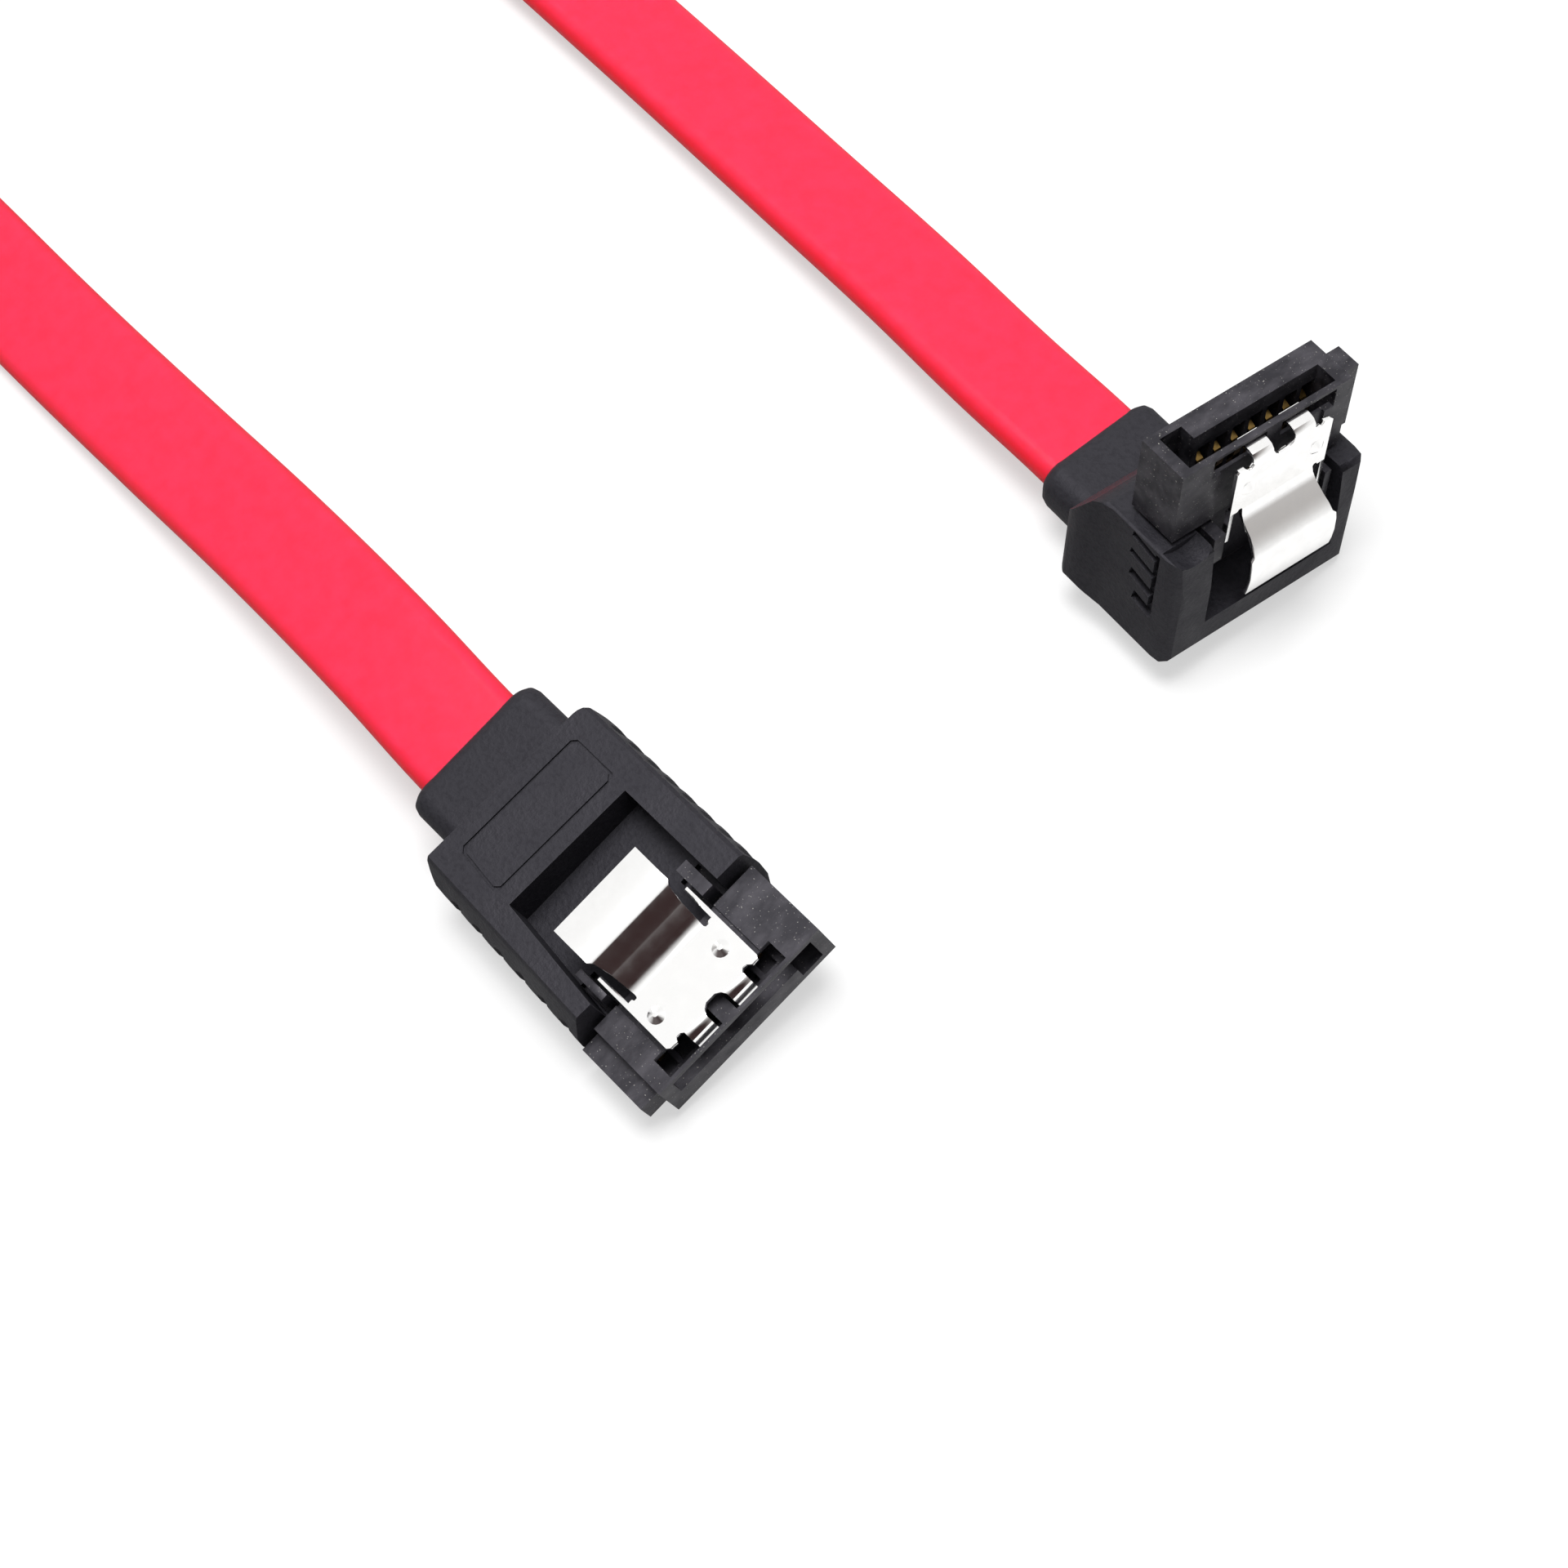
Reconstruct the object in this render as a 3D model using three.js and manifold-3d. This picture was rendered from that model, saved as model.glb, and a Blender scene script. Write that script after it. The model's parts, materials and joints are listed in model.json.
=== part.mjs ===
// Flat data cable with a straight connector at one end and a right-angled connector at the other.
// Millimetres, Z up. Both connectors lie on the table with their mating side toward +X or upward,
// and the cable runs back toward -X, turns once on its edge and comes back.
// Each connector has its own frame: x across the contacts, y toward the mating face, z toward the latch.
import * as THREE from "three";
import { mergeVertices } from "three/addons/utils/BufferGeometryUtils.js";
import Module from "manifold-3d";

const wasm = await Module();
wasm.setup();
const DEGREE = Math.PI / 180;

// Poses on the table
const STRAIGHT_ROLL = 14 * DEGREE;
const ANGLED_LEAN = 9.5 * DEGREE;
const ANGLED_TURN = -4.2 * DEGREE;
const ANGLED_X = -5.06;
const ANGLED_Y = 40.94;

// Puts the origin under the middle of the two connectors
const FRAME_X = 11.0;
const FRAME_Y = -20.1;

// Connector housing, shared by both ends
const HOUSING_LEFT = -6.1;
const HOUSING_RIGHT = 6.2;
const HOUSING_THICKNESS = 3.4;
const HOUSING_DEPTH = 5.45;
const SLOT_HALF_WIDTH = 5.3;
const SLOT_DEPTH = 4.9;
const SLOT_ROOF = 3.0;
const SLOT_FLOOR = 1.55;
const SLOT_LEG_FLOOR = 0.5;
const SLOT_LEG_WIDTH = 1.55;
const LIP_THICKNESS = 0.22;
const WINDOW_REAR = -1.64;
const RIB_WIDTH = 1.3;
const RIB_FRONT = -0.5;
const RIB_BOTTOM = 0.95;
const RIB_TOP = 2.6;
const WINDOWS = [[-3.78, 0], [1.1, 5.1]];
const LATCH_SEAT = [-3.1, 4.45];
const LATCH_SEAT_DEPTH = 0.18;
const CONTACT_GROOVE_HALF = 0.47;
const CONTACT_GROOVE_FLOOR = 0.85;
const CONTACT_GROOVE_FRONT = -1.2;
const TAIL_LEFT = -5.3;
const TAIL_RIGHT = 5.4;
const TAIL_TOP = 1.75;
const POSTS = [[-3.85, -3.05], [4.35, 4.8]];
const POST_REAR = -8.0;
const POST_FRONT = -(HOUSING_DEPTH + 0.35);
const POST_BOTTOM = 1;
const POST_TOP = 4.5;

// Contacts
const CONTACT_COUNT = 7;
const CONTACT_PITCH = 1.27;
const CONTACT_CENTRE = 1.0;
const CONTACT_WIDTH = 0.45;
const CONTACT_THICKNESS = 0.2;
const CONTACT_LEVEL = 1.25;
const CONTACT_TIP = -2.4;

// Latch of sheet steel
const LATCH_THICKNESS = 0.25;
const LATCH_LEVEL = 4.22;
const LATCH_PAD_LEVEL = 6.22;
const LATCH_REAR = -9.9;
const LATCH_FLANGES = [[-2.83, -2.55], [3.87, 4.15]];
const LATCH_FLANGE_HEIGHT = 0.38;
const DIMPLES = [-1.72, 3.26];
const DIMPLE_PLACE = -2.92;
const DIMPLE_TOP_RADIUS = 0.16;
const DIMPLE_FOOT_RADIUS = 0.6;
const DIMPLE_DEPTH = 0.3;
const DIMPLE_RISE = 0.25;

// Clearance between touching pieces
const GAP = 0.3;

// Overmoulded bodies
const BODY_FRONT = -(HOUSING_DEPTH + GAP);
const POCKET_LEFT = -4.25;
const POCKET_RIGHT = 5.3;
const POCKET_FLOOR = 2.4;

// Straight body: its top slopes up to the right and its right side widens toward the front
const STRAIGHT_REAR = -19.15;
const STRAIGHT_LEFT = -6.5;
const STRAIGHT_RIGHT = 6.95;
const STRAIGHT_FLARE = 0.42;
const STRAIGHT_BOTTOM = -0.9;
const STRAIGHT_TOP_LEFT = 4.7;
const STRAIGHT_TOP_RIGHT = 5.33;
const STRAIGHT_POCKET_REAR = -13.45;
const STRAIGHT_NECK_REAR = -23.2;
const STRAIGHT_NECK_LEFT = -4.95;
const STRAIGHT_NECK_RIGHT = 4.8;
const STRAIGHT_NECK_DROP = 1.9;
const STRAIGHT_NECK_RISE = 1.65;
const GRIP_RADIUS = 0.6;
const GRIPS_LEFT = [-17.05, 1.53, 8];
const GRIPS_RIGHT = [-16.7, 1.95, 6];
const LABEL_DEPTH = 0.14;
const LABEL_LINE = 0.18;
const LABEL_CORNER = 0.3;
const LABEL_REAR = -18.04;
const LABEL_FRONT = -14.45;
const LABEL_LEFT = -4.45;
const LABEL_RIGHT = [4.45, 4.75];

// Rounding of a neck's end: distance from the end and how far the outline is drawn in there
const NECK_ROUNDING = [[0, 0.75], [0.12, 0.4], [0.4, 0.12], [0.85, 0]];

// Angled body: its neck ends askew
const ANGLED_BASE = -14.5;
const ANGLED_BACK = -3.95;
const ANGLED_NECK_BACK = -9.25;
const ANGLED_NECK_SKEW = 0.1;
const ANGLED_NECK_TOP = -11.25;
const ANGLED_POCKET_REAR = -12.1;
const ANGLED_NECK_LEFT = -4.45;
const ANGLED_NECK_RIGHT = 4.6;
const SCOOP_RADIUS = 1.94;

// Slots in both sides of the angled body: level, height, bottom and top of each
const SLOTS = [[-6.35, 0.5, 1.2, 3.3], [-7.8, 0.5, 1.2, 3.3], [-9.4, 0.7, 1.4, 3.4], [-11, 0.8, 1.9, 3.5]];
const SLOT_SIDES = [-7.6, 6.55];
const SLOT_REACH = 1.05;
const SLOT_LEAN = 12 * DEGREE;

// Inner moulds: rear, front, bottom and top of each sleeve
const MOULD_LEFT = -5.35;
const MOULD_RIGHT = 5.45;
const MOULD_WALL = 0.3;
const STRAIGHT_MOULD = [-18.5, -13.85, 0.5, 3.9];
const ANGLED_MOULD = [-13.8, -11.9, -4.8, -0.3];

// Cable: flat jacket over two foil-wrapped pairs
const CABLE_WIDTH = 7.45;
const CABLE_THICKNESS = 2.0;
const PAIR_SPACING = 3.5;
const CORE_OFFSET = 0.4;
const CORE_RADIUS = 0.36;
const WIRE_RADIUS = 0.15;
const DRAIN_OFFSET = 0.93;
const DRAIN_RADIUS = 0.14;
const STRAIGHT_CABLE_LEVEL = 2.8;
const ANGLED_CABLE_LEVEL = -12.88;
const ANGLED_CABLE_SHIFT = -0.8;
const CABLE_STEPS = 40;

// Route of the cable between the two necks, measured from the straight connector's mating face:
// x, y, height of the middle, roll in degrees (90 is on edge)
const ROUTE = [
  [-32, -0.29, 4.9, 14],
  [-43, 0.05, 3.85, 14],
  [-55, 0.1, 2.6, 14],
  [-67, 0.1, 1.85, 14],
  [-79, 0.2, 1.7, 15.5],
  [-90, 0.05, 2.15, 26],
  [-100, -0.9, 2.95, 47],
  [-110, -2.2, 3.5, 70],
  [-119, -2.9, 3.68, 86],
  [-128.2, -1.7, 3.7, 90],
  [-136, 2.9, 3.7, 90],
  [-141.8, 10.4, 3.7, 90],
  [-144, 21.1, 3.7, 90],
  [-141.8, 31.8, 3.7, 90],
  [-136, 39.3, 3.7, 90],
  [-128.2, 43.9, 3.7, 90],
  [-119, 45.1, 3.68, 86],
  [-109.5, 44.6, 3.5, 70],
  [-99, 43.5, 2.95, 47],
  [-88, 42.5, 2.15, 25],
  [-77, 41.95, 1.6, 12],
  [-66, 41.65, 1.5, 9.5],
  [-54, 41.2, 1.55, 9.5],
  [-42, 40.6, 1.75, 9.5],
  [-31, 39.95, 2.15, 9.5],
  [-22, 39.15, 2.6, 9.5],
];

// Turns a geometry into a solid that can be cut and joined.
function solid(geometry) {
  const plain = geometry.clone();
  plain.deleteAttribute("normal");
  plain.deleteAttribute("uv");
  const welded = mergeVertices(plain, 1e-5);
  const triVerts = new Uint32Array(welded.index.array);
  const vertProperties = welded.attributes.position.array;
  return new wasm.Manifold(new wasm.Mesh({ numProp: 3, vertProperties, triVerts }));
}

// Turns a solid back into a geometry.
function shell(body) {
  const mesh = body.getMesh();
  const geometry = new THREE.BufferGeometry();
  geometry.setAttribute("position", new THREE.BufferAttribute(new Float32Array(mesh.vertProperties), 3));
  geometry.setIndex(new THREE.BufferAttribute(new Uint32Array(mesh.triVerts), 1));
  const flat = geometry.toNonIndexed();
  flat.computeVertexNormals();
  return flat;
}

function block(x0, x1, y0, y1, z0, z1) {
  const geometry = new THREE.BoxGeometry(x1 - x0, y1 - y0, z1 - z0);
  geometry.translate((x0 + x1) / 2, (y0 + y1) / 2, (z0 + z1) / 2);
  return solid(geometry);
}

function polygon(points) {
  return new THREE.Shape(points.map(([a, b]) => new THREE.Vector2(a, b)));
}

// Draws a flat outline out to a depth, in the given number of steps.
function extruded(shape, depth, curveSegments = 3, steps = 1) {
  return new THREE.ExtrudeGeometry(shape, { depth, steps, bevelEnabled: false, curveSegments });
}

// Flat outline in x and y, raised along z.
function raised(shape, z0, z1) {
  const geometry = extruded(shape, z1 - z0);
  geometry.translate(0, 0, z0);
  return solid(geometry);
}

// Outline in x and z, drawn out along y; its right side may step out by a flare on the way to the front.
function alongY(shape, y0, y1, flare = 0) {
  const geometry = extruded(shape, y1 - y0);
  geometry.rotateX(Math.PI / 2);
  geometry.translate(0, y1, 0);
  const position = geometry.attributes.position;
  for (let i = 0; i < position.count; i += 1) {
    const atFront = position.getY(i) > (y0 + y1) / 2;
    if (atFront && position.getX(i) > 0) position.setX(i, position.getX(i) + flare);
  }
  return solid(geometry);
}

// Outline in y and z, drawn out along x.
function alongX(shape, x0, x1) {
  const geometry = extruded(shape, x1 - x0);
  const axes = [new THREE.Vector3(0, 1, 0), new THREE.Vector3(0, 0, 1), new THREE.Vector3(1, 0, 0)];
  geometry.applyMatrix4(new THREE.Matrix4().makeBasis(...axes));
  geometry.translate(x0, 0, 0);
  return solid(geometry);
}

function roundedRectangle(x0, x1, y0, y1, radius) {
  const shape = new THREE.Shape();
  shape.absarc(x1 - radius, y0 + radius, radius, -Math.PI / 2, 0);
  shape.absarc(x1 - radius, y1 - radius, radius, 0, Math.PI / 2);
  shape.absarc(x0 + radius, y1 - radius, radius, Math.PI / 2, Math.PI);
  shape.absarc(x0 + radius, y0 + radius, radius, Math.PI, Math.PI * 1.5);
  return shape;
}

// The same outline with every corner cut off at the given distance.
function cornersCut(points, distance) {
  return points.flatMap((point, i) => {
    const corner = new THREE.Vector2(...point);
    const neighbours = [points.at(i - 1), points[(i + 1) % points.length]];
    return neighbours.map((neighbour) => {
      const step = new THREE.Vector2(...neighbour).sub(corner).setLength(distance);
      return step.add(corner).toArray();
    });
  });
}

// The same box with the clearance all round: the room that a piece of that size needs.
function room(x0, x1, y0, y1, z0, z1) {
  return block(x0 - GAP, x1 + GAP, y0 - GAP, y1 + GAP, z0 - GAP, z1 + GAP);
}

// Flat-sided outline with round ends, as a list of points.
function stadium(halfWidth, radius, stepsPerEnd, centre = 0, level = 0) {
  const points = [];
  for (const side of [1, -1]) {
    for (let i = 0; i <= stepsPerEnd; i += 1) {
      const angle = (-90 + (180 * i) / stepsPerEnd) * DEGREE;
      const across = (halfWidth - radius) * side + radius * Math.cos(angle) * side;
      points.push([centre + across, level + radius * Math.sin(angle) * side]);
    }
  }
  return points;
}

// Outline of a bent strip of the given thickness along a line of points.
function strip(line, thickness) {
  const left = [];
  const right = [];
  line.forEach(([a, b], i) => {
    const before = line[Math.max(i - 1, 0)];
    const after = line[Math.min(i + 1, line.length - 1)];
    const direction = new THREE.Vector2(after[0] - before[0], after[1] - before[1]).normalize();
    left.push([a - (direction.y * thickness) / 2, b + (direction.x * thickness) / 2]);
    right.unshift([a + (direction.y * thickness) / 2, b - (direction.x * thickness) / 2]);
  });
  return polygon([...left, ...right]);
}

function contactPlace(number) {
  return CONTACT_CENTRE + (number - (CONTACT_COUNT + 1) / 2) * CONTACT_PITCH;
}

function named(name, geometry, color, roughness, metalness = 0) {
  const material = new THREE.MeshStandardMaterial({ color, roughness, metalness });
  const mesh = new THREE.Mesh(geometry, material);
  mesh.name = name;
  return mesh;
}

// Housing: keyed slot, hook windows behind a thin lip, side rib, and the tail that carries the contacts.
function housing(tailRear) {
  let body = block(HOUSING_LEFT, HOUSING_RIGHT, -HOUSING_DEPTH, 0, 0, HOUSING_THICKNESS);
  const ribRight = HOUSING_RIGHT + RIB_WIDTH;
  body = body.add(block(HOUSING_RIGHT - 0.5, ribRight, -HOUSING_DEPTH, RIB_FRONT, RIB_BOTTOM, RIB_TOP));
  body = body.add(block(TAIL_LEFT, TAIL_RIGHT, tailRear, -HOUSING_DEPTH + 0.5, SLOT_LEG_FLOOR, TAIL_TOP));
  for (const [left, right] of POSTS) {
    body = body.add(block(left, right, POST_REAR, POST_FRONT, POST_BOTTOM, POST_TOP));
  }
  const cuts = [block(-SLOT_HALF_WIDTH, SLOT_HALF_WIDTH, -SLOT_DEPTH, 1, SLOT_FLOOR, SLOT_ROOF)];
  const legRight = -SLOT_HALF_WIDTH + SLOT_LEG_WIDTH;
  cuts.push(block(-SLOT_HALF_WIDTH, legRight, -SLOT_DEPTH, 1, SLOT_LEG_FLOOR, SLOT_FLOOR + 0.1));
  for (const [left, right] of WINDOWS) {
    cuts.push(block(left, right, WINDOW_REAR, -LIP_THICKNESS, SLOT_ROOF - 0.1, 4));
  }
  const seatFloor = HOUSING_THICKNESS - LATCH_SEAT_DEPTH;
  cuts.push(block(...LATCH_SEAT, -HOUSING_DEPTH - 0.1, WINDOW_REAR, seatFloor, 4));
  for (let number = 1; number <= CONTACT_COUNT; number += 1) {
    const left = contactPlace(number) - CONTACT_GROOVE_HALF;
    const right = contactPlace(number) + CONTACT_GROOVE_HALF;
    const floor = CONTACT_GROOVE_FLOOR;
    cuts.push(block(left, right, -SLOT_DEPTH - 0.1, CONTACT_GROOVE_FRONT, floor, SLOT_FLOOR + 0.1));
    cuts.push(block(left, right, tailRear - 1, -SLOT_DEPTH, floor, SLOT_FLOOR));
  }
  return shell(cuts.reduce((left, cut) => left.subtract(cut), body));
}

// Latch: a plate with two down-turned hooks, two dimples and a raised thumb pad on an S bend.
function latch() {
  const side = [
    [-0.5, 2.75], [-0.5, 3.7], [-0.58, 3.98], [-0.78, 4.16], [-1.05, LATCH_LEVEL],
    [-4.6, LATCH_LEVEL], [-5.05, 4.32], [-5.5, 4.62], [-6.05, 5.3], [-6.5, 5.78], [-7.0, 6.08],
    [-7.6, LATCH_PAD_LEVEL], [-8.5, LATCH_PAD_LEVEL + 0.04], [-9.3, LATCH_PAD_LEVEL - 0.03],
    [LATCH_REAR, LATCH_PAD_LEVEL - 0.14],
  ];
  const plan = [
    [-2.83, -4.6], [-2.83, -1.15], [-2.7, -0.97], [-2.3, -0.95], [-2.05, -1.2], [-1.8, -1.25],
    [-1.62, -1.05], [-1.62, 0], [-0.22, 0], [-0.22, -0.85], [-0.05, -1.15], [0.25, -1.35],
    [0.9, -1.35], [1.2, -1.15], [1.38, -0.85], [1.38, 0], [2.85, 0], [2.85, -1.05],
    [3.05, -1.22], [3.3, -1.2], [3.5, -0.95], [3.95, -0.97], [4.15, -1.15], [4.15, -4.6],
    [3.6, -4.6], [3.55, -4.45], [3.35, -4.45], [3.28, -4.6], [3.4, -6.0], [3.62, -6.9],
    [3.86, -7.15], [3.88, LATCH_REAR - 1], [-2.44, LATCH_REAR - 1], [-2.42, -7.15],
    [-2.2, -6.9], [-2.02, -6.0], [-1.92, -4.6], [-2.0, -4.45], [-2.2, -4.45], [-2.3, -4.6],
  ];
  let body = alongX(strip(side, LATCH_THICKNESS), -4, 5).intersect(raised(polygon(plan), 0, 9));
  const top = LATCH_LEVEL + LATCH_THICKNESS / 2;
  for (const [left, right] of LATCH_FLANGES) {
    body = body.add(block(left, right, -6.9, -4.4, top - LATCH_FLANGE_HEIGHT, top));
  }
  for (const x of DIMPLES) {
    const bump = new THREE.CylinderGeometry(DIMPLE_TOP_RADIUS, DIMPLE_FOOT_RADIUS, DIMPLE_DEPTH, 16);
    bump.rotateX(Math.PI / 2);
    bump.translate(x, DIMPLE_PLACE, top + DIMPLE_RISE - DIMPLE_DEPTH / 2);
    body = body.add(solid(bump));
  }
  return shell(body);
}

// Contact: a narrow strip with a sprung bow at the front; the tail follows the given line.
function contact(number, tail) {
  const bow = [
    [CONTACT_TIP, 1.02], [CONTACT_TIP - 0.2, 1.38], [CONTACT_TIP - 0.65, 1.72],
    [CONTACT_TIP - 1.1, 1.66], [CONTACT_TIP - 1.9, CONTACT_LEVEL],
  ];
  const side = strip([...bow, ...tail], CONTACT_THICKNESS);
  const left = contactPlace(number) - CONTACT_WIDTH / 2;
  return shell(alongX(side, left, left + CONTACT_WIDTH));
}

// Inner mould: a sleeve round the joints between the contact tails and the wires, open along one axis.
function innerMould([y0, y1, z0, z1], axis) {
  const outer = block(MOULD_LEFT, MOULD_RIGHT, y0, y1, z0, z1);
  const left = MOULD_LEFT + MOULD_WALL;
  const right = MOULD_RIGHT - MOULD_WALL + 0.05;
  const alongSleeve = block(left, right, y0 - 1, y1 + 1, z0 + MOULD_WALL, z1 - MOULD_WALL);
  const downSleeve = block(left, right, y0 + MOULD_WALL, y1 - MOULD_WALL, z0 - 1, z1 + 1);
  return shell(outer.subtract(axis === "y" ? alongSleeve : downSleeve));
}

// Room for what stands in an overmoulded body: the pocket behind the latch, the tail, the posts
// and the inner mould.
function hollows(pocketRear, pocketRightRear, tailFront, mould) {
  const pocket = [
    [POCKET_LEFT, pocketRear], [pocketRightRear, pocketRear], [POCKET_RIGHT, BODY_FRONT],
    [POCKET_RIGHT, 0], [POCKET_LEFT, 0],
  ];
  const cuts = [raised(polygon(pocket), POCKET_FLOOR, 9)];
  cuts.push(room(TAIL_LEFT, TAIL_RIGHT, tailFront, 0, SLOT_LEG_FLOOR, TAIL_TOP));
  POSTS.forEach(([left, right]) => cuts.push(room(left, right, POST_REAR, 0, POST_BOTTOM, POCKET_FLOOR)));
  cuts.push(room(MOULD_LEFT, MOULD_RIGHT, ...mould));
  return cuts;
}

// Neck of the cable along z: a rounded outline drawn in at its end, which may run askew.
function neckBody(x0, x1, y0, y1, radius, rings, skew = 0) {
  const steps = rings.length - 1;
  const outline = roundedRectangle(x0, x1, y0, y1, radius);
  const geometry = extruded(outline, steps, 5, steps);
  const position = geometry.attributes.position;
  const drawnIn = (value, low, high, inset) => {
    const middle = (low + high) / 2;
    return middle + (value - middle) * (1 - (2 * inset) / (high - low));
  };
  for (let i = 0; i < position.count; i += 1) {
    const [level, inset] = rings[Math.round(position.getZ(i))];
    const x = drawnIn(position.getX(i), x0, x1, inset);
    position.setXYZ(i, x, drawnIn(position.getY(i), y0, y1, inset), level + (x1 - x) * skew);
  }
  return geometry;
}

// Row of upright half-round grooves along one side, whose edge runs from one place to another.
function gripGrooves(side, rearEdge, frontEdge, first, pitch, count) {
  const grooves = [];
  for (let i = 0; i < count; i += 1) {
    const y = first + i * pitch;
    const share = (y - STRAIGHT_REAR) / (BODY_FRONT - STRAIGHT_REAR);
    const groove = new THREE.CylinderGeometry(GRIP_RADIUS, GRIP_RADIUS, 9, 8);
    groove.rotateX(Math.PI / 2);
    groove.translate(rearEdge + (frontEdge - rearEdge) * share + side * GRIP_RADIUS * 0.4, y, 2.4);
    grooves.push(solid(groove));
  }
  return grooves;
}

function straightOvermould() {
  const [left, right, bottom] = [STRAIGHT_LEFT, STRAIGHT_RIGHT, STRAIGHT_BOTTOM];
  const [topLeft, topRight] = [left + 0.55, right - 1.05];
  const section = [
    [left + 0.4, bottom], [right - 1.02, bottom], [right - 0.35, 0.2], [right - 0.05, 1.3], [right, 2.2],
    [right - 0.12, 3.3], [right - 0.85, STRAIGHT_TOP_RIGHT - 0.23], [topRight, STRAIGHT_TOP_RIGHT],
    [topLeft, STRAIGHT_TOP_LEFT], [left + 0.3, STRAIGHT_TOP_LEFT - 0.2], [left + 0.07, 3.1],
    [left, 2.2], [left + 0.06, 0.5],
  ];
  let body = alongY(polygon(section), STRAIGHT_REAR - 1, BODY_FRONT, STRAIGHT_FLARE);
  const corner = 1.2;
  const plan = new THREE.Shape();
  plan.absarc(left + corner, STRAIGHT_REAR + corner, corner, Math.PI, Math.PI * 1.5);
  plan.absarc(right + 0.1 - corner, STRAIGHT_REAR + corner, corner, -Math.PI / 2, 0);
  plan.lineTo(right + 1, BODY_FRONT + 1);
  plan.lineTo(left, BODY_FRONT + 1);
  body = body.intersect(raised(plan, -2, 7));
  const rounding = NECK_ROUNDING.map(([depth, inset]) => [-STRAIGHT_NECK_REAR - depth, inset]).reverse();
  const bottomOfNeck = STRAIGHT_CABLE_LEVEL - STRAIGHT_NECK_DROP;
  const topOfNeck = STRAIGHT_CABLE_LEVEL + STRAIGHT_NECK_RISE;
  const rings = [[-STRAIGHT_REAR - 0.6, 0], ...rounding];
  const neck = neckBody(STRAIGHT_NECK_LEFT, STRAIGHT_NECK_RIGHT, bottomOfNeck, topOfNeck, 1.2, rings);
  body = body.add(solid(neck.rotateX(Math.PI / 2)));
  const cuts = hollows(STRAIGHT_POCKET_REAR, 4.65, STRAIGHT_MOULD[1] + GAP, STRAIGHT_MOULD);
  const bore = stadium(CABLE_WIDTH / 2 + GAP, CABLE_THICKNESS / 2 + GAP, 5, 0, STRAIGHT_CABLE_LEVEL);
  cuts.push(alongY(polygon(bore), STRAIGHT_NECK_REAR - 1, STRAIGHT_MOULD[0] - 0.1));
  cuts.push(...gripGrooves(-1, left, left, ...GRIPS_LEFT));
  cuts.push(...gripGrooves(1, right, right + STRAIGHT_FLARE, ...GRIPS_RIGHT));
  const slope = (STRAIGHT_TOP_RIGHT - STRAIGHT_TOP_LEFT) / (topRight - topLeft);
  const labelFloor = (x) => STRAIGHT_TOP_LEFT + (x - topLeft) * slope - LABEL_DEPTH;
  const above = alongY(polygon([[-6, labelFloor(-6)], [6, labelFloor(6)], [6, 8], [-6, 8]]), -19, -13);
  const frame = (inset) => {
    const [rear, front] = [LABEL_REAR + inset, LABEL_FRONT - inset];
    const [atRear, atFront] = LABEL_RIGHT.map((x) => x - inset);
    const left = LABEL_LEFT + inset;
    const corners = [[left, rear], [atRear, rear], [atFront, front], [left, front]];
    return raised(polygon(cornersCut(corners, LABEL_CORNER)), 3, 9);
  };
  cuts.push(frame(0).subtract(frame(LABEL_LINE)).intersect(above));
  return shell(cuts.reduce((rest, cut) => rest.subtract(cut), body));
}

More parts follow.
